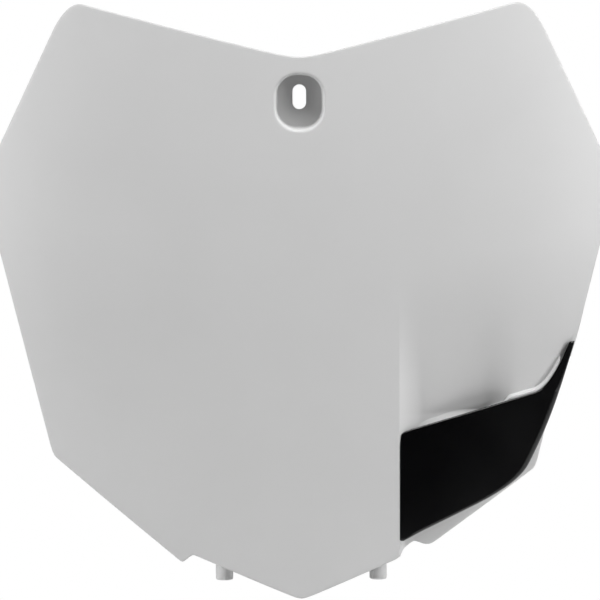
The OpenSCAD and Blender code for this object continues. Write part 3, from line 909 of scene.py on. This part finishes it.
# Cover screws: zinc-plated steel self-tappers driven in from behind, kept as the frame holds them.
# Plating gives a cool, slightly mottled sheen, with blotches about PLATING_MM wide.

PLATING_MM = 1.2

zinc = new_material("zinc_plated_steel")
zinc_place = add(zinc, "ShaderNodeTexCoord").outputs["Object"]
zinc_spots = add(zinc, "ShaderNodeTexNoise", {"Scale": 1 / (PLATING_MM * MM), "Detail": 2.0},
                 {"Vector": zinc_place})
zinc_gloss = add(zinc, "ShaderNodeMapRange", {"To Min": 0.22, "To Max": 0.4},
                 {"Value": zinc_spots.outputs["Fac"]})
zinc_shader = add(zinc, "ShaderNodeBsdfPrincipled", {"Base Color": linear("B9BBBE"), "Metallic": 1.0},
                  {"Roughness": zinc_gloss.outputs["Result"]})
add(zinc, "ShaderNodeOutputMaterial", None, {"Surface": zinc_shader.outputs["BSDF"]})
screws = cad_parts["cover_screws"]
screws.data.materials.clear()
screws.data.materials.append(zinc)


# Studio: a pale floor below the board, which takes its shadow, and a backdrop far behind it that is
# white to the camera and to reflections. Three soft lamps graze the face from both sides and above,
# so that the bowed plate stays even while the pocket and the black cover stay dark.

SHEET_COLOUR = "E8E8E8"
FLOOR_DROP = 0.12
LAMP_AIM = Vector((0, 0, -0.09))
AIR_LEVEL = 0.02


def floor_paint(name):
    material = new_material(name)
    paint = add(material, "ShaderNodeBsdfDiffuse", {"Color": linear(SHEET_COLOUR)})
    add(material, "ShaderNodeOutputMaterial", None, {"Surface": paint.outputs["BSDF"]})
    return material


def backdrop_white(name):
    material = new_material(name)
    path = add(material, "ShaderNodeLightPath").outputs
    seen = path["Is Camera Ray"]
    for ray in ("Is Glossy Ray", "Is Transmission Ray"):
        either = add(material, "ShaderNodeMath", {"operation": "MAXIMUM"}, {0: seen, 1: path[ray]})
        seen = either.outputs["Value"]
    glow = add(material, "ShaderNodeEmission", {"Color": (1, 1, 1, 1), "Strength": 1.0})
    paint = add(material, "ShaderNodeBsdfDiffuse", {"Color": linear(SHEET_COLOUR)})
    both = add(material, "ShaderNodeMixShader", None,
               {0: seen, 1: paint.outputs["BSDF"], 2: glow.outputs["Emission"]})
    add(material, "ShaderNodeOutputMaterial", None, {"Surface": both.outputs["Shader"]})
    return material


def studio_sheet(name, width, height, place, turn_x, material):
    mesh = bmesh.new()
    bmesh.ops.create_grid(mesh, x_segments=1, y_segments=1, size=0.5)
    bmesh.ops.scale(mesh, vec=(width, height, 1), verts=mesh.verts[:])
    bmesh.ops.rotate(mesh, verts=mesh.verts[:], matrix=Matrix.Rotation(turn_x, 3, "X"))
    bmesh.ops.translate(mesh, verts=mesh.verts[:], vec=place)
    data = bpy.data.meshes.new(name)
    mesh.to_mesh(data)
    mesh.free()
    sheet = bpy.data.objects.new(name, data)
    bpy.context.collection.objects.link(sheet)
    sheet.data.materials.append(material)
    sheet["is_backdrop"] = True


def lamp(name, place, width, height, power):
    light = bpy.data.lights.new(name, "AREA")
    light.shape = "RECTANGLE"
    light.size = width
    light.size_y = height
    light.energy = power
    holder = bpy.data.objects.new(name, light)
    holder.location = place
    holder.rotation_euler = (LAMP_AIM - Vector(place)).to_track_quat("-Z", "Y").to_euler()
    bpy.context.collection.objects.link(holder)


studio_sheet(
    "floor", width=1.6, height=1.2, place=(0, 0.2, cad_box[0][2] - FLOOR_DROP), turn_x=0,
    material=floor_paint("floor_paint"))
studio_sheet(
    "backdrop", width=12, height=8, place=(0, 4.5, 1.0), turn_x=math.pi / 2,
    material=backdrop_white("backdrop_paint"))
lamp("side_right", place=(1.45, -0.62, 0.4), width=0.5, height=1.0, power=16.8)
lamp("side_left", place=(-1.5, -0.54, 0.2), width=0.5, height=1.0, power=16)
lamp("above", place=(0.2, -0.46, 1.4), width=1.0, height=0.5, power=20)

world = bpy.data.worlds.new("studio_air")
world.use_nodes = True
air = world.node_tree.nodes["Background"]
air.inputs["Color"].default_value = (1, 1, 1, 1)
air.inputs["Strength"].default_value = AIR_LEVEL
bpy.context.scene.world = world
bpy.context.scene.view_settings.view_transform = "Standard"

visual_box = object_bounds()
sizes = {"cad_box": [list(c) for c in cad_box], "visual_box": [list(c) for c in visual_box]}
